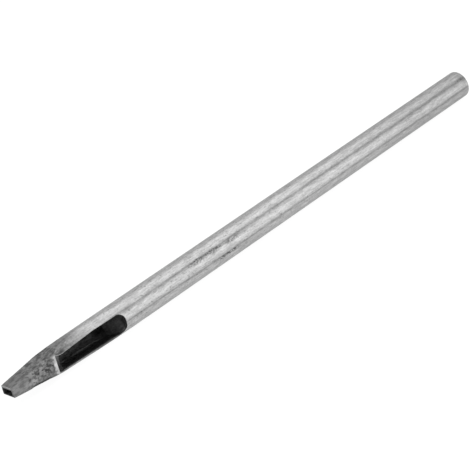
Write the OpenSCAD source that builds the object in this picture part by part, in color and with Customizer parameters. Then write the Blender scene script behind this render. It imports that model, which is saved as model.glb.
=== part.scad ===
// Leather hole punch: a drive punch made from one steel rod.
// The shank lies along X with the striking end at +X and the cutting mouth at -X.
// The slug window faces -Y. The origin is under the middle of the rod, on the surface it lies on.

/* [Shank] */
// Length from the cutting mouth to the striking end
length = 110; // [80:1:160]
// Diameter of the round shank
shank_d = 5; // [5:0.1:6]
// Chamfer round the striking end
end_chamfer = 0.1; // [0.05:0.05:0.6]

/* [Mouth] */
// Long side of the rectangular opening
mouth_long = 2.1; // [1.8:0.1:2.2]
// Short side of the rectangular opening
mouth_short = 1; // [0.7:0.1:1.1]
// Mean wall at the two ends of the long side
wall_long = 0.3; // [0.2:0.05:0.4]
// Mean wall at the two ends of the short side
wall_short = 0.25; // [0.2:0.05:0.35]
// Height of the mouth's outside above the shank's axis
mouth_rise = 0.2; // [0:0.05:0.25]
// Height of the opening above the shank's axis
opening_rise = 0.1; // [0.05:0.05:0.25]
// Offset of the opening towards the back face
opening_back = 0.1; // [0:0.05:0.15]

/* [Tip faces] */
// Distance from the mouth at which the broad faces run out into the shank
broad_run = 13.5; // [11:0.1:16]
// Distance from the mouth at which the back face runs out into the shank
back_run = 22.1; // [18:0.1:26]
// Rise of the front face from the mouth to the window
front_rise = 0.1; // [0:0.05:0.2]
// Slope of the shoulders beside the window, in degrees
shoulder_slope = 12; // [8:1:20]
// Length of the steeper foot of the shoulders, next to the lip
shoulder_foot = 1.2; // [0.8:0.1:2]
// Turn of the corner bevels away from the window, in degrees
bevel_turn = 60; // [50:1:65]
// Distance of the corner bevels from the axis at the mouth
bevel_at_mouth = 1.25; // [1.15:0.05:1.4]
// Distance of the corner bevels from the axis at the window's lower end
bevel_at_lip = 2.1; // [2:0.05:2.3]
// Distance from the mouth at which the corner bevels run out into the shank
bevel_run = 21.7; // [18:0.1:26]

/* [Slug path] */
// Distance from the mouth to the window's lower lip
lip_x = 8.85; // [8:0.05:10]
// Distance from the mouth to the window's upper end
window_end = 22.2; // [21:0.1:26]
// Width of the window at its lower lip
lip_width = 2.86; // [2.6:0.02:3]
// Radius of the rounded lower lip, over which the slugs leave
lip_round = 0.25; // [0.1:0.05:0.3]
// Diameter of the bore, which is also the full width of the window
bore_d = 3.5; // [3.2:0.1:3.6]
// Distance from the mouth at which the bore has its full diameter
bore_full_x = 16.2; // [13:0.1:18]
// Corner radius of the window's upper end
window_corner = 1.1; // [0.6:0.05:1.3]
// Lean of the ramp at the window's upper end, in degrees
ramp_lean = 28; // [15:1:35]
// Distance from the mouth at which the ramp meets the back of the bore
ramp_foot = 20.6; // [19:0.1:21]
// Long side of the passage where it opens into the bore
passage_long = 2.2; // [2.2:0.05:2.3]
// Short side of the passage where it opens into the bore
passage_short = 1.8; // [1.5:0.05:1.8]

/* [Hidden] */
$fn = 96;
shank_r = shank_d / 2;
bore_r = bore_d / 2;
// Extra radius of the ramp over the bore, so that it meets the window's sides at an angle
ramp_extra = 0.1;
ramp_r = bore_r + ramp_extra;
lip_r = lip_width / 2;
half_long = mouth_long / 2 + wall_long;
half_short = mouth_short / 2 + wall_short;
front_at_lip = half_long + front_rise;
// Reach of a cutting shape beyond the surface that it cuts
clear = 1;
reach = shank_r + clear;
// Overlap of two shapes that together cut one hollow
overlap = 0.2;

// Value at x on the straight line from (x0, v0) to (x1, v1)
function along(x, x0, v0, x1, v1) = v0 + (v1 - v0) * (x - x0) / (x1 - x0);

// Distance of a face from the axis that starts at v0 at the mouth and runs out at x = run
function face_at(x, v0, run) = along(x, 0, v0, run, shank_r);

// Round rod with a chamfered striking end
module rod() {
    rotate([0, 90, 0])
        rotate_extrude()
            polygon([
                [0, 0],
                [shank_r, 0],
                [shank_r, length - end_chamfer],
                [shank_r - end_chamfer, length],
                [0, length]
            ]);
}

// Front and back faces of the tip, drawn in plan and raised both ways along Z
// The front face rolls down over the lip, and the shoulders rise again beside the window
module narrow_faces() {
    slope = tan(shoulder_slope);
    lip_y = lip_round - front_at_lip;
    linear_extrude(height = 2 * reach, center = true) {
        polygon([
            [0, -half_long],
            [lip_x - 2 * lip_round, -front_at_lip],
            [lip_x - lip_round, -front_at_lip],
            [lip_x, lip_y],
            [lip_x + shoulder_foot, -front_at_lip - shoulder_foot * slope],
            [lip_x + (reach - front_at_lip) / slope, -reach],
            [length, -reach],
            [length, face_at(length, half_long, back_run)],
            [0, half_long]
        ]);
        translate([lip_x - lip_round, lip_y])
            circle(r = lip_round);
    }
}

// Upper and lower broad faces of the tip, drawn in side view and pushed both ways along Y
module broad_faces() {
    top = half_short + mouth_rise;
    bottom = half_short - mouth_rise;
    rotate([90, 0, 0])
        linear_extrude(height = 2 * face_at(length, half_long, back_run), center = true)
            polygon([
                [0, -bottom],
                [length, -face_at(length, bottom, broad_run)],
                [length, face_at(length, top, broad_run)],
                [0, top]
            ]);
}

// Long bevel beside the window: side is 1 above the window and -1 below it
module corner_bevel(side) {
    rotate([side * (180 - bevel_turn), 0, 0])
        linear_extrude(height = 2 * reach, center = true)
            polygon([
                [0, -reach],
                [length, -reach],
                [length, along(length, lip_x, bevel_at_lip, bevel_run, shank_r)],
                [lip_x, bevel_at_lip],
                [0, bevel_at_mouth]
            ]);
}

// Rod with its tip brought down to the rectangular mouth
module blank() {
    intersection() {
        rod();
        narrow_faces();
        broad_faces();
        corner_bevel(1);
        corner_bevel(-1);
    }
}

// Rectangular passage that widens from the cutting edge to the bore, so that slugs don't jam
module passage() {
    end_x = lip_x + overlap;
    intersection() {
        linear_extrude(height = 2 * reach, center = true)
            polygon([
                [0, opening_back - mouth_long / 2],
                [end_x, -passage_long / 2],
                [end_x, passage_long / 2],
                [0, opening_back + mouth_long / 2]
            ]);
        rotate([90, 0, 0])
            linear_extrude(height = 2 * reach, center = true)
                polygon([
                    [0, opening_rise - mouth_short / 2],
                    [end_x, -passage_short / 2],
                    [end_x, passage_short / 2],
                    [0, opening_rise + mouth_short / 2]
                ]);
    }
}

// Bore that opens to its full diameter along the window
module bore() {
    rotate([0, 90, 0])
        rotate_extrude()
            polygon([
                [0, lip_x],
                [lip_r, lip_x],
                [bore_r, bore_full_x],
                [bore_r, window_end],
                [0, window_end]
            ]);
}

// Outline of the window as seen from the front, with the axis along X
module window_outline() {
    straight_end = window_end - window_corner;
    corner_y = bore_r - window_corner;
    polygon([
        [lip_x, -lip_r],
        [bore_full_x, -bore_r],
        [straight_end, -bore_r],
        [straight_end, bore_r],
        [bore_full_x, bore_r],
        [lip_x, lip_r]
    ]);
    translate([straight_end, -corner_y])
        square([window_corner, 2 * corner_y]);
    for (side = [-1, 1])
        translate([straight_end, side * corner_y])
            circle(r = window_corner);
}

// Metal behind the hollow leaning ramp that turns the slugs out of the window
module upper_wall() {
    lean = tan(ramp_lean);
    axis_x = ramp_foot - ramp_r / cos(ramp_lean);
    difference() {
        linear_extrude(height = 2 * reach, center = true)
            polygon([
                [axis_x - clear * lean, bore_r + clear],
                [axis_x + (bore_r + reach) * lean, -reach],
                [window_end + reach, -reach],
                [window_end + reach, bore_r + clear]
            ]);
        translate([axis_x, bore_r, 0])
            rotate([90, 0, ramp_lean])
                cylinder(h = 4 * reach, r = ramp_r, center = true);
    }
}

// Whole hollow, from the cutting mouth to the window
module slug_path() {
    passage();
    difference() {
        union() {
            bore();
            rotate([90, 0, 0])
                linear_extrude(height = reach)
                    window_outline();
        }
        upper_wall();
    }
}

module punch_body() {
    color("silver")
        translate([-length / 2, 0, shank_r])
            difference() {
                blank();
                slug_path();
            }
}

punch_body();
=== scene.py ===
import math
from types import SimpleNamespace

import bmesh
import bpy
from mathutils import Matrix, Vector, noise


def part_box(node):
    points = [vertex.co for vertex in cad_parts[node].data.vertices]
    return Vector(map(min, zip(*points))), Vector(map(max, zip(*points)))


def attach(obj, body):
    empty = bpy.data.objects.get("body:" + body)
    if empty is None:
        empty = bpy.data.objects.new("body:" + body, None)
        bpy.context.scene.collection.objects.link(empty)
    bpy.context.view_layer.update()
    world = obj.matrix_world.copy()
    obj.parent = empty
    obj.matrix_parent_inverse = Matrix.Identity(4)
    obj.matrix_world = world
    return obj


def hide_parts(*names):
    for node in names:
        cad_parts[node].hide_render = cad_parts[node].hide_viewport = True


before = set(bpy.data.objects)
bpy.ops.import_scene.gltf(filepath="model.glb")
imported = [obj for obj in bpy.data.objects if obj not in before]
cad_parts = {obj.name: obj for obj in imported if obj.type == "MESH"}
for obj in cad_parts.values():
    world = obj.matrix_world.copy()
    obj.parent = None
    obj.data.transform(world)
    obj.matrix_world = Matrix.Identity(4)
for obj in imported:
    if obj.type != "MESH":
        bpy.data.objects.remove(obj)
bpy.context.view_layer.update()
mm = 0.001


# one socket of a node tree, so that shader maths reads as plain expressions
class Flow:
    def __init__(self, tree, socket=None):
        self.tree = tree
        self.socket = socket

    def node(self, kind, settings=None, sockets=None, out=0):
        made = self.tree.nodes.new(kind)
        for name, value in (settings or {}).items():
            setattr(made, name, value)
        for name, value in (sockets or {}).items():
            if isinstance(value, Flow):
                self.tree.links.new(value.socket, made.inputs[name])
            else:
                made.inputs[name].default_value = value
        return Flow(self.tree, made.outputs[out])

    def math(self, operation, *values):
        return self.node("ShaderNodeMath", {"operation": operation}, dict(enumerate(values)))

    def __add__(self, other):
        return self.math("ADD", self, other)

    def __radd__(self, other):
        return self.math("ADD", other, self)

    def __sub__(self, other):
        return self.math("SUBTRACT", self, other)

    def __rsub__(self, other):
        return self.math("SUBTRACT", other, self)

    def __mul__(self, other):
        return self.math("MULTIPLY", self, other)

    def __rmul__(self, other):
        return self.math("MULTIPLY", other, self)

    def __truediv__(self, other):
        return self.math("DIVIDE", self, other)

    def __rtruediv__(self, other):
        return self.math("DIVIDE", other, self)

    def __pow__(self, other):
        return self.math("POWER", self, other)

    def __rpow__(self, other):
        return self.math("POWER", other, self)

    def __abs__(self):
        return self.math("ABSOLUTE", self)

    def larger(self, other):
        return self.math("MAXIMUM", self, other)

    def smooth(self, low, high):  # 0 below low, 1 above high, eased between
        sockets = {"Value": self, "From Min": low, "From Max": high}
        return self.node("ShaderNodeMapRange", {"interpolation_type": "SMOOTHSTEP"}, sockets)

    def fade(self, low, high):  # the other way round: 1 below low, 0 above high
        return 1.0 - self.smooth(low, high)


def mixNumber(factor, first, second):
    return first + factor * (second - first)


# sizes in mm: x from the cutting mouth along the rod, y to the back and z up from its axis
# turns in degrees round the rod from the window's middle
# a pair says where a change starts and where it is complete, unless its note says otherwise
# a span says where a mark starts, where it is full, where it begins to fade and where it ends
# other fours give a value at each of two places
punch = {
    "outsideLong": 2.7, "outsideShort": 1.5,   # outside of the cutting mouth
    "mouthRise": 0.2,                          # its middle above the shank's axis
    "openLong": 2.1, "openShort": 1.0,         # opening of the mouth
    "openRise": 0.1, "openBack": 0.1,          # its middle above the axis and towards the back
    "broadRun": 13.5, "backRun": 22.1,         # where the tip's faces run out into the shank
    "frontRise": 0.1,                          # rise of the front face up to the lip
    "lipRoll": 0.5, "lipDrop": 0.3,            # length and drop of the roll over the lip
    "shoulderSlope": 12, "shoulderFoot": 1.2,  # shoulders beside the window, steeper at the lip
    "bevelTurn": 60, "bevelRun": 21.7,         # long bevels beside the window
    "bevelMouth": (1.33, 1.17),                # from the axis at the mouth, above and below the window
    "bevelLip": 2.1,                           # and at the lip
    "edgeHardness": 40,                        # higher gives crisper edges between the tip's faces
    "mouthBevel": 0.02, "buttRound": 0.05,     # broken edges of the mouth and of the striking end

    "lipX": 8.85, "windowEnd": 22.2,           # both ends of the slug window
    "lipHalf": 1.43, "boreRadius": 1.75,       # half of its width at the lip, and along the full bore
    "boreFullX": 16.2, "windowCorner": 1.1,    # where the bore is full, and the upper end's corners
    "rampLean": 28, "rampFoot": 20.6,          # hollow ramp at the window's upper end
    "rampExtra": 0.1,                          # how much wider it is than the bore
    "passageLong": 2.2, "passageShort": 1.8,   # passage where it meets the bore

    "rimRound": 0.05, "lowRound": 0.25,        # broken edge of the window, and along its lower side
    "lowRoundRuns": (1.0, 1.5),                # lengths in which the lower one grows and ends
    "rimAbove": 0.06, "rimBelow": 0.22,        # how far the rim stands over the bore
    "lipOpen": 0.05, "rimFullX": 14.0,         # how far it stands back below the lip, and where it is full
    "dipX": 9.55, "dipLong": 0.5,              # dip of the upper rim behind the lip
    "dipDepth": 0.1,

    "dentSize": 0.9, "dentDepth": 0.02,        # hammer marks of the forged tip
    "dentDrawn": 0.7, "dentDetail": 3,         # drawn out along the rod below 1, and layers of noise
    "dentSpan": (1.2, 4.0, 10.0, 17.0),
    "dentEdge": (0.05, 0.5),                   # how near they come to the window
    "pitSize": 0.42, "pitDepth": 0.03,         # pits of the forged tip
    "pitDrawn": 0.85, "pitDetail": 2,
    "pitSpan": (2.4, 3.0, 10.0, 14.5),
    "pitLevels": (-0.12, 0.4),                 # levels of the noise at a pit's edge and in its bottom
    "pitFrontX": (2.6, 3.6),                   # where they reach their full depth along the front
    "pitFrontTurn": (16.0, 34.0),              # turn of its middle, and half of its width
    "pitElsewhere": 0.4,                       # how deep they are elsewhere, as a share
    "lowEdge": (2.0, -0.87, 7.0, -1.39),       # x and z of two places on the tip's lower edge
    "lowEdgeSpan": (3.0, 4.2, 6.6, 7.8),
    "lowEdgeWide": (0.2, 0.6),                 # how far up from that edge it is worn
    "edgeWear": 0.07,                          # metal worn off it
    "dimpleX": 10.0, "dimpleAway": 0.27,       # dimple above the window's upper rim
    "dimpleLong": 0.65, "dimpleWide": 0.17,

    "paintedRimShades": ((0.32, 1.2), (0.5, 0.25)),   # darkness and width of the painted shade along the upper rim
    "paintedShadeSpan": (11.5, 14.5, 21.0, 24.0),
    "lowWindowShade": (11.0, 0.4, 16.0, 0.85),        # x and darkness of the painted shade over the lower edge, by the lip and farther up
    "lowRimShade": 0.72,                          # how far that painted shade reaches over it farther up
    "lowRimShadeX": (11.0, 18.0),
    "darkDepth": 0.7, "rampDark": 0.88,        # depth at which the bore is dark, and how dark the ramp is
    "passageDark": (0.0, 0.8, 0.2, 1.0),       # x and darkness of the passage, at its edge and behind it
    "backShade": 0.85,                          # painted shade on the edge of the mouth's back wall
    "backShadeY": (-0.9, 0.9), "backShadeZ": (0.45, 0.8),
    "lowWallShade": 0.5, "lowWallZ": (0.2, 0.5),  # and of its lower wall, below the axis

    "mouthHighlight": 0.4, "mouthHighlightX": 0.15,    # painted highlight at the mouth's upper edge
    "mouthHighlightY": (-1.2, -0.8), "mouthHighlightZ": (0.2, 0.6),
    "lipShine": 0.95, "lipFull": 0.45,         # length of the worn metal and painted highlight on the lip, and its full share
    "lipTaper": (-0.2, 1.0, 1.0, 0.85),        # z and share of that length, below and above
    "lipUneven": 0.6, "lipWaves": 2.3,         # how much the length wavers, and waves per mm
    "lipMiddle": (0.2, 0.5), "lipDull": 0.7,   # brightest part: middle and half width, and the rest
    "lipSides": (1.45, 1.9),                   # where it fades at both sides
    "cornerShine": 0.6,                        # upper corner of the lip
    "cornerX": (-0.3, 0.3), "cornerZ": (1.45, 0.25),  # its middle, x from the lip, and half width
    "frontShine": 0.2,                         # faint shine along the front of the tip
    "frontSpan": (1.8, 2.8, 4.2, 6.2), "frontZ": (0.05, 0.38),
    "rimShine": 0.13, "rimFull": 0.3,          # width of the worn metal and painted highlight along the rim, and its full share
    "rimGloss": (0.3, 0.5, 4.0, 0.08),         # distance from the lip, and how worn and highlighted the rim is there

    "columns": 160, "windowColumns": 48,       # mesh round the rod, and across the window
    "columnRun": 8.0,                          # length behind the window in which the columns spread evenly
    "tipStep": 0.08, "footStep": 0.04,         # mesh along the tip, the foot of the shoulders,
    "windowStep": 0.1, "behindStep": 0.16,     # the window, a short length behind it
    "behindRun": 3.0, "shankStep": 2.0,        # and the shank
    "arcSteps": 12, "rimSteps": 4,             # mesh round the arcs and over the broken edge
    "buttSkip": 3,                             # only every third of the arc's steps round the butt's edge
    "wallLevels": 12, "floorLevels": 16,       # mesh down into the bore
    "passageEdge": (0.0, 0.06, 0.2, 0.4),      # first rings of the passage, then even steps
    "passageSteps": 12,
    "buttRings": (0.93, 0.8, 0.55, 0.3),       # rings on the striking end, as shares of its radius
    "sharpAngle": 50,                          # steeper edges are shaded sharp
    "mergeGap": 1e-4, "flatGap": 1e-5,         # closer vertices and shorter edges are merged
}

low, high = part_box("punch_body")
rodLength = (high.x - low.x) / mm
rodRadius = (high.z - low.z) / 2 / mm
halfColumns = punch["columns"] // 2
halfWindow = punch["windowColumns"] // 2
shankAngle = math.pi * halfWindow / halfColumns  # columns spread evenly on the shank
straightEnd = punch["windowEnd"] - punch["windowCorner"]
afterWindow = punch["windowEnd"] + punch["rimRound"]
frontAtLip = punch["outsideLong"] / 2 + punch["frontRise"]
rampSlope = math.tan(math.radians(punch["rampLean"]))
rampRadius = punch["boreRadius"] + punch["rampExtra"]
rampReach = rampRadius / math.cos(math.radians(punch["rampLean"]))
tiny = 1e-6


def between(x, x0, v0, x1, v1):  # straight line through two points
    return v0 + (v1 - v0) * (x - x0) / (x1 - x0)


def ease(x, x0, x1):  # 0 before x0, 1 after x1
    t = min(max((x - x0) / (x1 - x0), 0.0), 1.0)
    return t * t * (3 - 2 * t)


def fade(x, x0, x1):  # 1 before x0, 0 after x1
    return 1 - ease(x, x0, x1)


def easeBetween(x, x0, v0, x1, v1):  # v0 before x0, v1 after x1
    return v0 + (v1 - v0) * ease(x, x0, x1)


def span(x, start, full, fading, end):  # 1 from full to fading, 0 before the start and after the end
    return ease(x, start, full) * fade(x, fading, end)


def bell(x, middle, half):  # 1 in the middle, falling off to both sides
    return math.exp(-((x - middle) / half) ** 2)


def lumps(x, y, z, drawn, size, detail):  # noise, drawn out along the rod
    return noise.fractal(Vector((x * drawn, y, z)) / size, 1.0, 2.0, detail)


def frontReach(x):  # front face, the roll over the lip and the shoulders, as a distance from the axis
    p = punch
    foot = p["shoulderFoot"]
    rollStart = p["lipX"] - p["lipRoll"]
    if x <= rollStart:
        return between(x, 0, p["outsideLong"] / 2, rollStart, frontAtLip)
    if x <= p["lipX"]:
        past = min((x - rollStart) / p["lipRoll"], 1.0)
        return frontAtLip - p["lipDrop"] * (1 - math.sqrt(1 - past ** 2))
    slope = math.tan(math.radians(p["shoulderSlope"]))
    beyond = x - p["lipX"]
    if beyond < foot:
        return between(beyond, 0, frontAtLip - p["lipDrop"], foot, frontAtLip + foot * slope)
    return frontAtLip + beyond * slope


def faceReach(x):  # turn of each of the tip's faces from the window, and its distance from the axis
    p = punch
    bevels = [between(x, 0, mouth, p["lipX"], p["bevelLip"]) for mouth in p["bevelMouth"]]
    if x > p["lipX"]:
        bevels = [between(x, p["lipX"], p["bevelLip"], p["bevelRun"], rodRadius)] * 2
    halfShort = p["outsideShort"] / 2
    turn = math.radians(p["bevelTurn"])
    return [
        (0.0, frontReach(x)),
        (turn, bevels[0]),
        (-turn, bevels[1]),
        (math.pi / 2, between(x, 0, halfShort + p["mouthRise"], p["broadRun"], rodRadius)),
        (-math.pi / 2, between(x, 0, halfShort - p["mouthRise"], p["broadRun"], rodRadius)),
        (math.pi, between(x, 0, p["outsideLong"] / 2, p["backRun"], rodRadius)),
    ]


def outerRadius(angle, faces):  # all faces and the round rod, blended by their hardness
    hard = punch["edgeHardness"]
    total = 1.0
    for turn, reach in faces:
        facing = math.cos(angle - turn)
        if facing > 0:
            total += (facing * rodRadius / reach) ** hard
    return rodRadius * total ** (-1 / hard)


def buttCut(x):  # how far the broken edge of the striking end stands back
    edge = punch["buttRound"]
    past = max(0.0, x - rodLength + edge)
    return edge - math.sqrt(max(0.0, edge ** 2 - past ** 2))


def tightAt(x, side):  # how far the rim stands over the bore, above and below the window
    p = punch
    if side > 0:
        return p["rimAbove"]
    return easeBetween(x, p["lipX"], -p["lipOpen"], p["rimFullX"], p["rimBelow"])


def windowHalf(x, side, grow=0.0):  # width of the window on one side, with its outline grown all round
    p = punch
    tight = tightAt(x, side)
    if x <= p["boreFullX"]:
        wide = between(x, p["lipX"], p["lipHalf"], p["boreFullX"], p["boreRadius"]) - tight + grow
        return wide - p["dipDepth"] * bell(x, p["dipX"], p["dipLong"]) * (side > 0)
    past = max(0.0, x - straightEnd)
    corner = p["windowCorner"] + grow
    return p["boreRadius"] - tight - p["windowCorner"] + math.sqrt(max(0.0, corner ** 2 - past ** 2))


def fromWindow(x, z):  # distance from the window's outline, seen from the front
    p = punch
    wide = abs(z) + tightAt(x, z)
    if x < p["lipX"]:
        return math.hypot(p["lipX"] - x, max(0.0, wide - p["lipHalf"]))
    if x < straightEnd:
        return abs(z) - windowHalf(x, z)
    aside = max(0.0, wide - p["boreRadius"] + p["windowCorner"])
    return math.hypot(x - straightEnd, aside) - p["windowCorner"]


def roundAt(x, side):  # broken edge of the window, rounder along its lower side
    p = punch
    grows, ends = p["lowRoundRuns"]
    along = span(x, p["lipX"], p["lipX"] + grows, straightEnd - ends, straightEnd)
    return between(along * (side < 0), 0, p["rimRound"], 1, p["lowRound"])


def rimAngle(x, side):  # angle at which the outside reaches the broken edge of the window
    aim = windowHalf(x, side, roundAt(x, side))
    faces = faceReach(x)
    near, far = 0.0, math.pi / 2
    for _ in range(30):  # halved until it is exact
        middle = (near + far) / 2
        if outerRadius(middle * side, faces) * math.sin(middle) < aim:
            near = middle
        else:
            far = middle
    return near


def rimAngles(xs, side):  # that angle at each ring, carried on before and behind the window
    angles = []
    spreadEnd = afterWindow + punch["columnRun"]
    for x in xs:
        inWindow = rimAngle(min(max(x, punch["lipX"]), afterWindow), side)
        angles.append(easeBetween(x, afterWindow, inWindow, spreadEnd, shankAngle))
    return angles


def columnAngle(column, rim):  # columns spread evenly across the window, and round the rest
    if abs(column) <= halfWindow:
        return rim * column / halfWindow
    return math.copysign(between(abs(column), halfWindow, rim, halfColumns, math.pi), column)


def evenSteps(start, end, size):  # even places from start, without the end itself
    count = max(1, round((end - start) / size))
    return [between(i, 0, start, count, end) for i in range(count)]


def ringStations():  # places of the rings, closer together on the tip and round the arcs
    p = punch
    rollStart = p["lipX"] - p["lipRoll"]
    footEnd = p["lipX"] + p["shoulderFoot"]
    fineEnd = afterWindow + p["behindRun"]
    buttStart = rodLength - p["buttRound"]
    quarter = [math.sin(math.pi / 2 * i / p["arcSteps"]) for i in range(p["arcSteps"])]
    xs = evenSteps(0.0, rollStart, p["tipStep"])
    xs += [rollStart + p["lipRoll"] * share for share in quarter]
    xs += evenSteps(p["lipX"], footEnd, p["footStep"])
    xs += evenSteps(footEnd, straightEnd, p["windowStep"])
    xs += [between(share, 0, straightEnd, 1, afterWindow) for share in quarter]
    xs += evenSteps(afterWindow, fineEnd, p["behindStep"])
    xs += evenSteps(fineEnd, buttStart, p["shankStep"])
    xs += [buttStart + p["buttRound"] * share for share in quarter[::p["buttSkip"]]]
    return xs + [rodLength]


def nearestRing(xs, x):
    return min(range(len(xs)), key=lambda k: abs(xs[k] - x))


def pitAt(x, y, z):  # pits of the forged skin, from 0 to 1, deepest along the front of the tip
    p = punch
    share = span(x, *p["pitSpan"])
    if share == 0:
        return 0.0
    turn = math.degrees(math.atan2(z, -y))
    front = ease(x, *p["pitFrontX"]) * bell(turn, *p["pitFrontTurn"])
    share *= between(front, 0, p["pitElsewhere"], 1, 1.0)
    return share * ease(lumps(x, y, z, p["pitDrawn"], p["pitSize"], p["pitDetail"]), *p["pitLevels"])


def dimpleAt(x, y, z):  # dimple where the shoulder meets the lip, above the window, with painted shade in it
    p = punch
    if y > 0 or z < 0:
        return 0.0
    across = bell(fromWindow(x, z), p["dimpleAway"], p["dimpleWide"])
    return across * bell(x, p["dimpleX"], p["dimpleLong"])


def lowEdgeAt(x, y, z):  # along the tip's lower edge, which is worn round and darker
    p = punch
    if y > 0:
        return 0.0
    above = z - between(x, *p["lowEdge"])
    return fade(above, *p["lowEdgeWide"]) * span(x, *p["lowEdgeSpan"])


def shadeAt(x, y, z):  # painted shade along the upper rim of the window
    p = punch
    if y > 0 or z < 0:
        return 0.0
    away = fromWindow(x, z)
    return span(x, *p["paintedShadeSpan"]) * sum(dark * fade(away, 0.0, wide) for dark, wide in p["paintedRimShades"])


def skinChange(x, y, z, pit):  # dents, pits, dimple and worn edge, as a change of the radius
    p = punch
    away = fromWindow(x, z) if y < 0 else rodRadius
    forged = span(x, *p["dentSpan"]) * ease(away, *p["dentEdge"])
    dent = 0.0
    if forged:
        dent = p["dentDepth"] * (1 + lumps(x, y, z, p["dentDrawn"], p["dentSize"], p["dentDetail"]))
    worn = p["edgeWear"] * lowEdgeAt(x, y, z) + p["pitDepth"] * dimpleAt(x, y, z)
    return -forged * (dent + p["pitDepth"] * pit) - worn


def lipWear(x, y, z):  # worn metal and painted highlight on the lip and its upper corner, and fainter along the front
    p = punch
    before = p["lipX"] - x
    uneven = 1 + p["lipUneven"] * noise.noise(Vector((x, y, z)) * p["lipWaves"])
    width = p["lipShine"] * easeBetween(z, *p["lipTaper"]) * uneven
    band = between(bell(z, *p["lipMiddle"]), 0, p["lipDull"], 1, 1.0)
    band *= fade(before, p["lipFull"] * width, width) * fade(abs(z), *p["lipSides"])
    corner = p["cornerShine"] * bell(-before, *p["cornerX"]) * bell(z, *p["cornerZ"])
    front = p["frontShine"] * span(x, *p["frontSpan"]) * bell(z, *p["frontZ"])
    return max(band, corner, front)


def rimWear(x, z):  # worn metal and painted highlight along the window's rim
    p = punch
    worn = easeBetween(x - p["lipX"], *p["rimGloss"])
    return worn * fade(fromWindow(x, z), p["rimFull"] * p["rimShine"], p["rimShine"])


def wearAt(x, y, z):  # bright worn metal and painted highlight: the mouth's upper edge, the lip or the window's rim
    p = punch
    mouth = p["mouthHighlight"] * fade(x, 0.0, p["mouthHighlightX"])
    mouth *= ease(y, *p["mouthHighlightY"]) * ease(z, *p["mouthHighlightZ"])
    if y > 0:
        return mouth
    return max(mouth, lipWear(x, y, z)) if x <= p["lipX"] else rimWear(x, z)


def mouthDarkAt(y, z):  # painted shade on the mouth's thin walls, at their edge
    p = punch
    back = p["backShade"] * ease(y, *p["backShadeY"]) * fade(z, *p["backShadeZ"])
    return max(back, p["lowWallShade"] * ease(-z, *p["lowWallZ"]))


def boreRadiusAt(x):
    p = punch
    return between(min(x, p["boreFullX"]), p["lipX"], p["lipHalf"], p["boreFullX"], p["boreRadius"])


def wallX(y, z):  # how far along the rod the pocket reaches: the window's end or the ramp
    p = punch
    aside = max(0.0, abs(z) - p["boreRadius"] + p["windowCorner"])
    window = straightEnd + math.sqrt(max(0.0, p["windowCorner"] ** 2 - aside ** 2))
    axis = p["rampFoot"] - rampReach + (p["boreRadius"] - y) * rampSlope
    return min(window, axis + rampReach * math.sqrt(max(0.0, 1 - (z / rampRadius) ** 2)))


def pocketPlace(outer, level):  # place in the pocket, a number of levels below a point of its rim
    p = punch
    full = p["boreRadius"]
    x = outer.x
    if x > straightEnd:
        x = between(x, straightEnd, straightEnd, afterWindow, p["windowEnd"])
    wide = windowHalf(x, outer.z)
    rim = roundAt(x, outer.z)
    z = min(max(outer.z, -wide), wide)
    if level <= p["rimSteps"]:
        roll = math.pi / 2 * level / p["rimSteps"]
        share = 1 - math.sin(roll)
        y = outer.y + rim * (1 - math.cos(roll))
        return x + (outer.x - x) * share, y, z + (outer.z - z) * share
    down = level - p["rimSteps"]
    turn = math.pi / 2 * max(0, down - p["wallLevels"]) / p["floorLevels"]
    share = min(down / p["wallLevels"], 1.0)
    y = (outer.y + rim) * (1 - share)
    if outer.x > straightEnd + tiny:
        z *= between(share, 0, 1, 1, full / (full - tightAt(x, z))) * math.cos(turn)
        y += full * math.sin(turn)
        return wallX(y, z), y, z
    end = wallX(y + full * math.sin(turn), full * math.cos(turn))
    x = between(x, p["lipX"], p["lipX"], straightEnd, end)
    bore = boreRadiusAt(x)
    aside = between(share, 0, wide, 1, bore) * math.cos(turn)
    return x, y + bore * math.sin(turn), math.copysign(aside, z)


def pocketDark(start, depth, level, above):  # darkness in the pocket, and painted shade over its lower edge
    p = punch
    deep = ease(depth, p["rimRound"] / 2, p["darkDepth"])
    if start.z >= 0 or start.x >= straightEnd:
        return deep
    edge = easeBetween(start.x, *p["lowWindowShade"]) * min(level / p["rimSteps"], 1.0)
    return max(deep, above, edge)


def passageMiddle(x):  # middle of the passage across the rod
    rest = 1 - x / punch["lipX"]
    return punch["openBack"] * rest, punch["openRise"] * rest


def passagePlace(x, angle):  # rectangular passage, wider towards the bore
    p = punch
    halfLong = between(x, 0, p["openLong"], p["lipX"], p["passageLong"]) / 2
    halfShort = between(x, 0, p["openShort"], p["lipX"], p["passageShort"]) / 2
    hard = 2 * p["edgeHardness"]
    flat = (abs(math.cos(angle)) / halfLong) ** hard + (abs(math.sin(angle)) / halfShort) ** hard
    reach = flat ** (-1 / hard)
    back, rise = passageMiddle(x)
    return x, back - reach * math.cos(angle), rise + reach * math.sin(angle)


def openEdges(bm, wanted):  # edges of an opening whose vertices are all wanted
    return [e for e in bm.edges if e.is_boundary and all(wanted(v) for v in e.verts)]


def extrudeLoop(bm, edges):  # the new vertices and the edges between them
    made = bmesh.ops.extrude_edge_only(bm, edges=edges)["geom"]
    fresh = [g for g in made if isinstance(g, bmesh.types.BMVert)]
    known = set(fresh)
    return fresh, [g for g in made if isinstance(g, bmesh.types.BMEdge) and set(g.verts) <= known]


def newLayers(bm):  # place of a vertex in the grid, and the marks that the material reads
    layers = {name: bm.verts.layers.int.new(name) for name in ("ring", "column")}
    layers.update({name: bm.verts.layers.float.new(name) for name in ("bore", "wear", "soil")})
    return SimpleNamespace(**layers)


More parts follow.
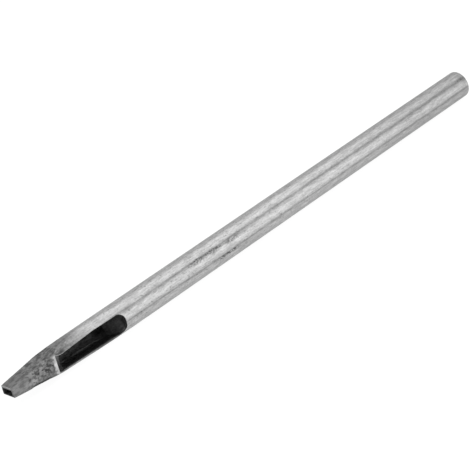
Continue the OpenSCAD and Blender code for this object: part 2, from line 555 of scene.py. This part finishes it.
def shapeOutside(bm, layers, xs):  # round grid, pushed to the rod's and the tip's faces
    last = len(xs) - 1
    bmesh.ops.create_cone(bm, segments=punch["columns"], radius1=1, radius2=1, depth=1)
    lengthwise = [e for e in bm.edges if abs(e.verts[0].co.z - e.verts[1].co.z) > 0.5]
    bmesh.ops.subdivide_edges(bm, edges=lengthwise, cuts=last - 1, use_grid_fill=True)
    faces = [faceReach(x) for x in xs]
    rims = {side: rimAngles(xs, side) for side in (1, -1)}
    for v in bm.verts:
        ring = round((v.co.z + 0.5) * last)
        column = round(math.atan2(v.co.y, v.co.x) / math.pi * halfColumns)
        angle = columnAngle(column, rims[1 if column > 0 else -1][ring])
        x = xs[ring]
        radius = outerRadius(angle, faces[ring]) - buttCut(x)
        y, z = -radius * math.cos(angle), radius * math.sin(angle)
        pit = pitAt(x, y, z)
        radius = min(radius + skinChange(x, y, z, pit), rodRadius)
        v.co = (x, -radius * math.cos(angle), radius * math.sin(angle))
        v[layers.ring] = ring
        v[layers.column] = column
        # darker in the pits and along the lower edge, painted shade in the dimple and along the upper rim
        v[layers.soil] = max(pit, dimpleAt(x, y, z), lowEdgeAt(x, y, z), shadeAt(x, y, z))
        v[layers.wear] = wearAt(x, y, z)
        if ring == 0:
            v[layers.bore] = mouthDarkAt(y, z)


def openWindow(bm, layers, xs):  # window opened and its rim drawn down into the bore
    p = punch
    lipRing, endRing = nearestRing(xs, p["lipX"]), nearestRing(xs, afterWindow)

    def gridPlace(v):
        return v[layers.ring], v[layers.column]

    def alongWindow(v):
        return lipRing <= v[layers.ring] <= endRing

    def onLip(v):
        return v[layers.ring] == lipRing

    def inWindow(v):
        return alongWindow(v) and abs(v[layers.column]) <= halfWindow

    inside = [f for f in bm.faces if all(inWindow(v) for v in f.verts)]
    bmesh.ops.delete(bm, geom=inside, context="FACES")
    chain = [e for e in openEdges(bm, alongWindow) if not all(onLip(v) for v in e.verts)]
    rim = {v for e in chain for v in e.verts}
    starts = {gridPlace(v): v.co.copy() for v in rim}
    for v in rim:
        # painted shade on the outside of the window's lower edge, farther up
        if v.co.z < 0 and v.co.x < straightEnd:
            v[layers.bore] = p["lowRimShade"] * ease(v.co.x, *p["lowRimShadeX"])
    pocket = []
    for level in range(1, p["rimSteps"] + p["wallLevels"] + p["floorLevels"] + 1):
        fresh, chain = extrudeLoop(bm, chain)
        for v in fresh:
            start = starts[gridPlace(v)]
            v.co = pocketPlace(start, level)
            dark = pocketDark(start, v.co.y - start.y, level, v[layers.bore])
            v[layers.bore] = dark * (p["rampDark"] if start.x > straightEnd + tiny else 1.0)
            v[layers.wear] *= 1 - dark
            v[layers.soil] = 0.0
        pocket += fresh
    bmesh.ops.remove_doubles(bm, verts=pocket, dist=p["mergeGap"])
    return openEdges(bm, onLip)


def drawPassage(bm, layers, lipEdges):  # mouth drawn back as the rectangular passage, up to the lip
    p = punch
    chain = openEdges(bm, lambda v: v[layers.ring] == 0)
    mouthEdges = list(chain)
    xs = list(p["passageEdge"][:-1])
    xs += evenSteps(p["passageEdge"][-1], p["lipX"], p["lipX"] / p["passageSteps"])
    for x in xs + [p["lipX"]]:
        fresh, chain = extrudeLoop(bm, chain)
        for v in fresh:
            back, rise = passageMiddle(v.co.x)
            v.co = passagePlace(x, math.atan2(v.co.z - rise, back - v.co.y))
            v[layers.bore] = easeBetween(x, *p["passageDark"])
            v[layers.ring] = -1
        if x == 0:
            mouthEdges += chain
    bmesh.ops.triangle_fill(bm, use_beauty=True, edges=lipEdges + chain, normal=(1, 0, 0))
    return mouthEdges


def closeButt(bm, layers, last):  # flat striking end
    chain = openEdges(bm, lambda v: v[layers.ring] == last)
    for share in punch["buttRings"]:
        fresh, chain = extrudeLoop(bm, chain)
        for v in fresh:
            out = Vector((v.co.y, v.co.z)).normalized() * (rodRadius - punch["buttRound"]) * share
            v.co = (rodLength, out.x, out.y)
    bmesh.ops.contextual_create(bm, geom=chain)


def sortFaces(bm):  # extruding leaves them in another order on each run
    bm.verts.index_update()
    count = len(bm.verts)

    def cornerNumber(f):
        first, second, third = sorted(v.index for v in f.verts)[:3]
        return (first * count + second) * count + third

    bm.faces.sort(key=cornerNumber)


def buildPunch():
    p = punch
    bm = bmesh.new()
    layers = newLayers(bm)
    xs = ringStations()
    shapeOutside(bm, layers, xs)
    lipEdges = openWindow(bm, layers, xs)
    mouthEdges = drawPassage(bm, layers, lipEdges)
    closeButt(bm, layers, len(xs) - 1)
    bmesh.ops.bevel(
        bm, geom=mouthEdges, offset=p["mouthBevel"], offset_type="OFFSET", affect="EDGES",
        segments=2, profile=0.5, material=-1, clamp_overlap=True,
    )
    bmesh.ops.dissolve_degenerate(bm, edges=bm.edges, dist=p["flatGap"])
    bmesh.ops.recalc_face_normals(bm, faces=bm.faces)
    bmesh.ops.translate(bm, verts=bm.verts, vec=(-rodLength / 2, 0, rodRadius))
    bmesh.ops.scale(bm, verts=bm.verts, vec=(mm, mm, mm))
    sortFaces(bm)
    for f in bm.faces:
        f.smooth = True
    mesh = bpy.data.meshes.new("punchBody")
    bm.to_mesh(mesh)
    bm.free()
    mesh.set_sharp_from_angle(angle=math.radians(p["sharpAngle"]))
    piece = bpy.data.objects.new("punchBody", mesh)
    bpy.context.scene.collection.objects.link(piece)
    return piece


# greys are linear values; places in mm from the mouth, turns in degrees from the window's middle
# levels are those of a noise between which a mark comes in; mixes say how much each noise changes a grey
steel = {
    "shankGrey": 0.47, "tipGrey": 0.25, "groundGrey": 0.21, "soilShadeGrey": 0.075,
    "boreGrey": 0.05, "highlightGrey": 0.26, "wornHighlightGrey": 0.66, "endGrey": 0.42,
    "shankRough": 0.34, "tipRough": 0.46, "boreRough": 0.7, "wornRough": 0.3,
    "edgeTint": 0.74,                                  # less gloss at a glancing angle
    "noises": {                                        # stretch, scale, detail and roughness
        "drawn": ((0.02, 1.0, 1.0), 5.0, 4.0, 0.65),       # streaks left by the drawing die
        "grain": ((0.6, 1.0, 1.0), 5.0, 2.0, 0.5),         # fine grain of the pickled skin
        "fibre": ((0.16, 1.0, 1.0), 3.6, 1.0, 0.5),        # longer grain, drawn out along the rod
        "specks": ((0.6, 1.0, 1.0), 3.4, 1.0, 0.5),        # small dark specks
        "cloud": ((0.25, 1.0, 1.0), 0.7, 3.0, 0.5),        # slow change along the rod
        "mottle": ((0.5, 1.0, 1.0), 2.6, 4.0, 0.65),       # forged scale on the tip
        "patches": ((0.4, 1.0, 1.0), 2.1, 2.0, 0.5),       # larger patches of it
        "scuffGaps": ((0.6, 1.0, 1.0), 4.4, 3.0, 0.5),     # skin left between the scuffs
        "streakGaps": ((0.3, 1.0, 1.0), 1.6, 2.0, 0.5),    # breaks in the painted highlight line in the bore
        "saw": ((1.0, 0.12, 2.0), 3.0, 3.0, 0.5),          # straight marks of the cut on the striking end
    },
    "shankMix": {"plain": 0.80, "drawn": 0.28, "grain": 0.6, "fibre": 0.75, "cloud": 0.10},
    "tipMix": {"plain": 0.5, "patches": 0.55, "mottle": 0.25, "grain": 0.8},
    "groundMix": {"plain": 0.58, "patches": 0.5, "grain": 0.4},
    "boreMix": {"mottle": 1.2, "grain": 0.8},
    "endMix": {"plain": 0.7, "saw": 0.6},
    "roughMix": {"drawn": 0.12, "marks": 0.1, "soil": 0.2},
    "heightMix": {"drawn": 0.5, "grain": 0.7, "mottle": 1.2},
    "bumpStrength": 0.35, "bumpDepth": 0.02,           # depth in mm
    "skinRadius": (2.2, 2.45),                         # from the axis, where the shank's skin begins
    "endDepth": (0.4, 0.1),                            # from the striking end, where its own finish begins
    "tipFade": (9.2, 16.4), "tipWander": 4.0,          # where the forged skin ends, and how unevenly
    "groundEnd": (2.4, 3.6),                           # where the ground metal behind the mouth ends
    "patchLevels": (0.36, 0.64), "mottleLevels": (0.35, 0.65),
    "dieAndHighlightLines": (                                      # turn, half width and darkness of the long lines, dark die lines and lighter painted highlight
        (44.0, 6.5, 0.28),
        (0.5, 5.5, 0.29),
        (11.5, 9.0, -0.14),                            # lighter ones, painted highlight bands
        (95.0, 19.0, -0.13),
        (-16.0, 11.0, -0.06),
    ),
    "linesWiden": (80.0, 110.0, 0.5),                  # start, end and amount of their widening
    "linesWander": 2.5,                                # how far they stray to each side
    "scuffs": (                                        # place, half length, turn, half width, darkness
        (38.6, 2.2, 40.0, 13.0, 0.53),
        (42.6, 2.8, 37.0, 12.0, 0.53),
        (46.9, 2.0, 34.0, 10.0, 0.52),
        (45.2, 3.2, -5.0, 8.0, 0.75),
        (92.8, 1.8, 30.0, 6.0, 0.3),
        (104.0, 1.5, 46.0, 8.0, 0.25),
        (108.8, 1.6, 46.0, 9.0, 0.3),
    ),
    "scuffEdge": (0.1, 1.0),                           # where a scuff fades, 1 at its outline
    "scuffLevels": (0.42, 0.58),
    "speckDark": 0.34, "speckLevels": (0.27, 0.38),
    "speckFade": (50.0, 92.0), "speckThin": 0.75,      # where and how much they thin out towards the butt
    "buttDark": (60.0, 110.0, 0.15),                   # start, end and amount of the slow darkening
    "streak": (16.4, -117.5, 5.0),                     # painted highlight line in the bore: bend, turn before, turn per mm after
    "highlightWide": 9.0, "highlightAmount": 0.7,
    "highlightEnd": (17.6, 19.4), "highlightLevels": (0.42, 0.58),
    "shadowStart": (17.4, 18.8),                       # painted shadow at the end of the bore, in front of the ramp
    "shadowEnd": (20.2, 20.4), "shadowTurn": (115.0, 140.0),
    "shadowDark": 0.75,
    "boreLevels": (0.3, 0.7),                          # of the mottle in the bore
    "lightLean": 0.0119, "lightEnd": (8.95, 9.3),      # painted light inside the lip, ends later at the back
    "lightStart": (8.6, 8.8), "lightFade": (-0.2, 1.0),  # full from here on, and weaker higher up
    "lightAmount": 0.7, "passageLight": 0.3,          # how bright the painted light is, and in the passage before it
}


def speckle(place, stretch, scale, detail, rough):
    scaled = place.node("ShaderNodeMapping", sockets={"Vector": place, "Scale": stretch})
    sockets = {"Vector": scaled, "Scale": scale, "Detail": detail, "Roughness": rough}
    return place.node("ShaderNodeTexNoise", sockets=sockets, out="Fac")


def surfaceFlows(tree):  # place on the rod, turn round it, the mesh's marks and the noises
    start = Flow(tree)
    objectPlace = start.node("ShaderNodeTexCoord", out="Object")
    toMouth = {"Vector": objectPlace, "Location": (rodLength / 2, 0, -rodRadius), "Scale": (1 / mm,) * 3}
    place = start.node("ShaderNodeMapping", sockets=toMouth)  # mm from the mouth, on the axis
    flows = {}
    for axis in "xyz":
        flows[axis] = start.node("ShaderNodeSeparateXYZ", sockets={"Vector": place}, out=axis.upper())
    flows["turn"] = start.math("ARCTAN2", flows["z"], 0.0 - flows["y"]) * (180 / math.pi)
    for name in ("bore", "wear", "soil"):
        flows[name] = start.node("ShaderNodeAttribute", {"attribute_name": name}, out="Fac")
    for name, values in steel["noises"].items():
        flows[name] = speckle(place, *values)
    return SimpleNamespace(**flows)


def lineMarks(f):  # long dark lines left by the drawing die, and lighter bands of painted highlight
    s = steel
    start, end, amount = s["linesWiden"]
    widen = 1.0 + f.x.smooth(start, end) * amount
    wander = (f.cloud - 0.5) * s["linesWander"]
    lines = 0.0
    for turn, width, dark in s["dieAndHighlightLines"]:
        away = abs(f.turn - turn + wander) / widen
        lines = away.fade(0.0, width) * dark + lines
    return lines


def scuffMarks(f):
    s = steel
    scuffs = 0.0
    for x, halfLength, turn, halfWidth, dark in s["scuffs"]:
        away = ((f.x - x) / halfLength) ** 2.0 + ((f.turn - turn) / halfWidth) ** 2.0
        scuffs = away.fade(*s["scuffEdge"]) * dark + scuffs
    return scuffs * f.scuffGaps.smooth(*s["scuffLevels"])


def shankShade(f, marks):
    s, mix = steel, steel["shankMix"]
    grey = mix["plain"] + f.drawn * mix["drawn"] + (f.grain - 0.5) * mix["grain"]
    grey = grey + (f.fibre - 0.5) * mix["fibre"] + (f.cloud - 0.5) * mix["cloud"]
    specks = f.specks.fade(*s["speckLevels"]) * (1.0 - f.x.smooth(*s["speckFade"]) * s["speckThin"])
    start, end, amount = s["buttDark"]
    grey = grey * (1.0 - specks * s["speckDark"]) * (1.0 - marks)
    return grey * (1.0 - f.x.smooth(start, end) * amount) * s["shankGrey"]


def tipShade(f):  # forged skin, ground away behind the mouth, darkened by soil and painted shade
    s, tip, mouth = steel, steel["tipMix"], steel["groundMix"]
    patches = f.patches.smooth(*s["patchLevels"])
    forged = tip["plain"] + patches * tip["patches"] + f.mottle.smooth(*s["mottleLevels"]) * tip["mottle"]
    forged = (forged + (f.grain - 0.5) * tip["grain"]) * s["tipGrey"]
    ground = (mouth["plain"] + patches * mouth["patches"] + f.grain * mouth["grain"]) * s["groundGrey"]
    return mixNumber(f.soil, mixNumber(f.x.fade(*s["groundEnd"]), forged, ground), s["soilShadeGrey"])


def boreShade(f):  # dark reamed metal with a painted highlight line, painted shadow before the ramp and painted light inside the lip
    s, mix = steel, steel["boreMix"]
    bendX, streakTurn, turnPerMm = s["streak"]
    streak = abs(f.turn - streakTurn - (f.x - bendX).larger(0.0) * turnPerMm).fade(0.0, s["highlightWide"])
    streak = streak * f.streakGaps.smooth(*s["highlightLevels"]) * f.x.fade(*s["highlightEnd"])
    shadow = f.x.smooth(*s["shadowStart"]) * f.x.fade(*s["shadowEnd"])
    shadow = shadow * abs(f.turn).smooth(*s["shadowTurn"])
    lipSide = f.x.smooth(*s["lightStart"]) * (s["lightAmount"] - f.z.smooth(*s["lightFade"]))
    inner = (f.x - abs(f.turn) * s["lightLean"]).fade(*s["lightEnd"]) * (s["passageLight"] + lipSide)
    reamed = f.mottle.smooth(*s["boreLevels"]) * mix["mottle"] + f.grain * mix["grain"]
    reamed = reamed * (1.0 - shadow * s["shadowDark"]) * s["boreGrey"]
    return reamed + (streak * s["highlightAmount"]).larger(inner) * (s["highlightGrey"] - s["boreGrey"])


def steelMaterial():
    s = steel
    material = bpy.data.materials.new("drawnSteel")
    material.use_nodes = True
    tree = material.node_tree
    shader = tree.nodes["Principled BSDF"]
    start = Flow(tree)
    f = surfaceFlows(tree)
    tip = (f.x + (f.cloud - 0.5) * s["tipWander"]).fade(*s["tipFade"])
    outside = ((f.y ** 2.0 + f.z ** 2.0) ** 0.5).smooth(*s["skinRadius"])
    endFace = f.x.smooth(*(rodLength - depth for depth in s["endDepth"])) * (1.0 - outside)
    marks = (lineMarks(f) + scuffMarks(f)) * (1.0 - tip) * outside

    grey = mixNumber(tip, shankShade(f, marks), tipShade(f))
    grey = mixNumber(endFace, grey, (s["endMix"]["plain"] + f.saw * s["endMix"]["saw"]) * s["endGrey"])
    grey = mixNumber(f.wear, grey, s["wornHighlightGrey"])
    grey = mixNumber(f.bore, grey, boreShade(f))
    colour = start.node("ShaderNodeCombineColor", sockets={"Red": grey, "Green": grey, "Blue": grey})
    tree.links.new(colour.socket, shader.inputs["Base Color"])

    mix = s["roughMix"]
    shankRough = s["shankRough"] + (f.drawn - 0.5) * mix["drawn"] + marks * mix["marks"]
    rough = mixNumber(tip, shankRough, s["tipRough"] + f.soil * mix["soil"])
    rough = mixNumber(f.wear, rough, s["wornRough"])
    rough = mixNumber(f.bore, rough, s["boreRough"])
    tree.links.new(rough.socket, shader.inputs["Roughness"])
    shader.inputs["Metallic"].default_value = 1.0
    shader.inputs["Specular Tint"].default_value = (s["edgeTint"],) * 3 + (1.0,)

    mix = s["heightMix"]
    height = f.drawn * mix["drawn"] + f.grain * mix["grain"] + tip * f.mottle * mix["mottle"] - marks
    sockets = {"Height": height, "Strength": s["bumpStrength"], "Distance": s["bumpDepth"] * mm}
    bump = start.node("ShaderNodeBump", sockets=sockets)
    tree.links.new(bump.socket, shader.inputs["Normal"])
    return material


punchPiece = buildPunch()
punchPiece.data.materials.append(steelMaterial())
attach(punchPiece, "root")
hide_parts("punch_body")
print("punch built:", len(punchPiece.data.polygons), "faces")


# studio: greys are linear, lamp places and sizes in metres
studio = {
    "floorGrey": 0.16, "floorSize": 6.0, "floorGlow": 0.92,
    "worldGrey": 0.82,
    "topPanel": {
        "place": (0.33, 0.0, 0.50), "aim": (0.0, 0.0, 0.0), "size": (0.55, 0.30), "glow": 0.86,
    },
    "frontPanel": {
        "place": (0.33, -0.45, 0.16), "aim": (0.33, 0.0, 0.16), "size": (0.55, 0.32), "glow": 0.95,
    },
}


def floorMaterial():  # matt grey, and pale where the camera or the metal sees it
    material = bpy.data.materials.new("paleFloor")
    material.use_nodes = True
    tree = material.node_tree
    tree.nodes.remove(tree.nodes["Principled BSDF"])
    start = Flow(tree)
    grey = (studio["floorGrey"],) * 3 + (1.0,)
    matt = start.node("ShaderNodeBsdfDiffuse", sockets={"Color": grey})
    camera = start.node("ShaderNodeLightPath", out="Is Camera Ray")
    glossy = start.node("ShaderNodeLightPath", out="Is Glossy Ray")
    through = start.node("ShaderNodeLightPath", out="Is Transmission Ray")
    seen = start.math("MINIMUM", camera + glossy + through, 1.0)
    glow = start.node("ShaderNodeEmission", sockets={"Strength": seen * studio["floorGlow"]})
    both = start.node("ShaderNodeAddShader", sockets={0: matt, 1: glow})
    tree.links.new(both.socket, tree.nodes["Material Output"].inputs["Surface"])
    return material


def buildFloor():
    bm = bmesh.new()
    bmesh.ops.create_grid(bm, x_segments=1, y_segments=1, size=studio["floorSize"] / 2)
    mesh = bpy.data.meshes.new("floor")
    bm.to_mesh(mesh)
    bm.free()
    floor = bpy.data.objects.new("floor", mesh)
    bpy.context.scene.collection.objects.link(floor)
    mesh.materials.append(floorMaterial())


def buildPanel(name):
    values = studio[name]
    width, depth = values["size"]
    lamp = bpy.data.lights.new(name, "AREA")
    lamp.shape = "RECTANGLE"
    lamp.size = width
    lamp.size_y = depth
    lamp.energy = values["glow"] * math.pi * width * depth  # glow is the brightness of the panel's face
    panel = bpy.data.objects.new(name, lamp)
    bpy.context.scene.collection.objects.link(panel)
    panel.location = values["place"]
    aim = Vector(values["aim"]) - Vector(values["place"])
    panel.rotation_euler = aim.to_track_quat("-Z", "Y").to_euler()


def buildWorld():
    world = bpy.data.worlds.new("studioWorld")
    bpy.context.scene.world = world
    world.use_nodes = True
    sky = world.node_tree.nodes["Background"]
    sky.inputs["Color"].default_value = (studio["worldGrey"],) * 3 + (1.0,)


buildFloor()
buildPanel("topPanel")
buildPanel("frontPanel")
buildWorld()
print("studio lit")


# the photograph's view: target and distances in mm, turns in degrees, shifts as shares of the width
cameraView = {
    "target": (-5.36, 0.11, 2.67), "distance": 281.29, "nearest": 10.0,
    "azimuth": -39.742, "elevation": 26.098, "roll": -14.339,
    "lens": 131.67, "sensor": 36.0,
    "shiftX": -0.5 / 470, "shiftY": 0.5 / 470,  # half of one of the picture's 470 pixels
}


def buildCamera():
    c = cameraView
    around, above = math.radians(c["azimuth"]), math.radians(c["elevation"])
    back = Vector((math.sin(around) * math.cos(above), -math.cos(around) * math.cos(above), math.sin(above)))
    eye = bpy.data.cameras.new("photoView")
    eye.sensor_width = c["sensor"]
    eye.lens = c["lens"]
    eye.shift_x = c["shiftX"]
    eye.shift_y = c["shiftY"]
    eye.clip_start = c["nearest"] * mm
    camera = bpy.data.objects.new("photoView", eye)
    bpy.context.scene.collection.objects.link(camera)
    place = Matrix.Translation((Vector(c["target"]) + back * c["distance"]) * mm)
    facing = (-back).to_track_quat("-Z", "Y").to_matrix().to_4x4()
    camera.matrix_world = place @ facing @ Matrix.Rotation(math.radians(c["roll"]), 4, "Z")
    bpy.context.scene.camera = camera


buildCamera()
bpy.context.scene.view_settings.view_transform = "Standard"
print("camera placed")
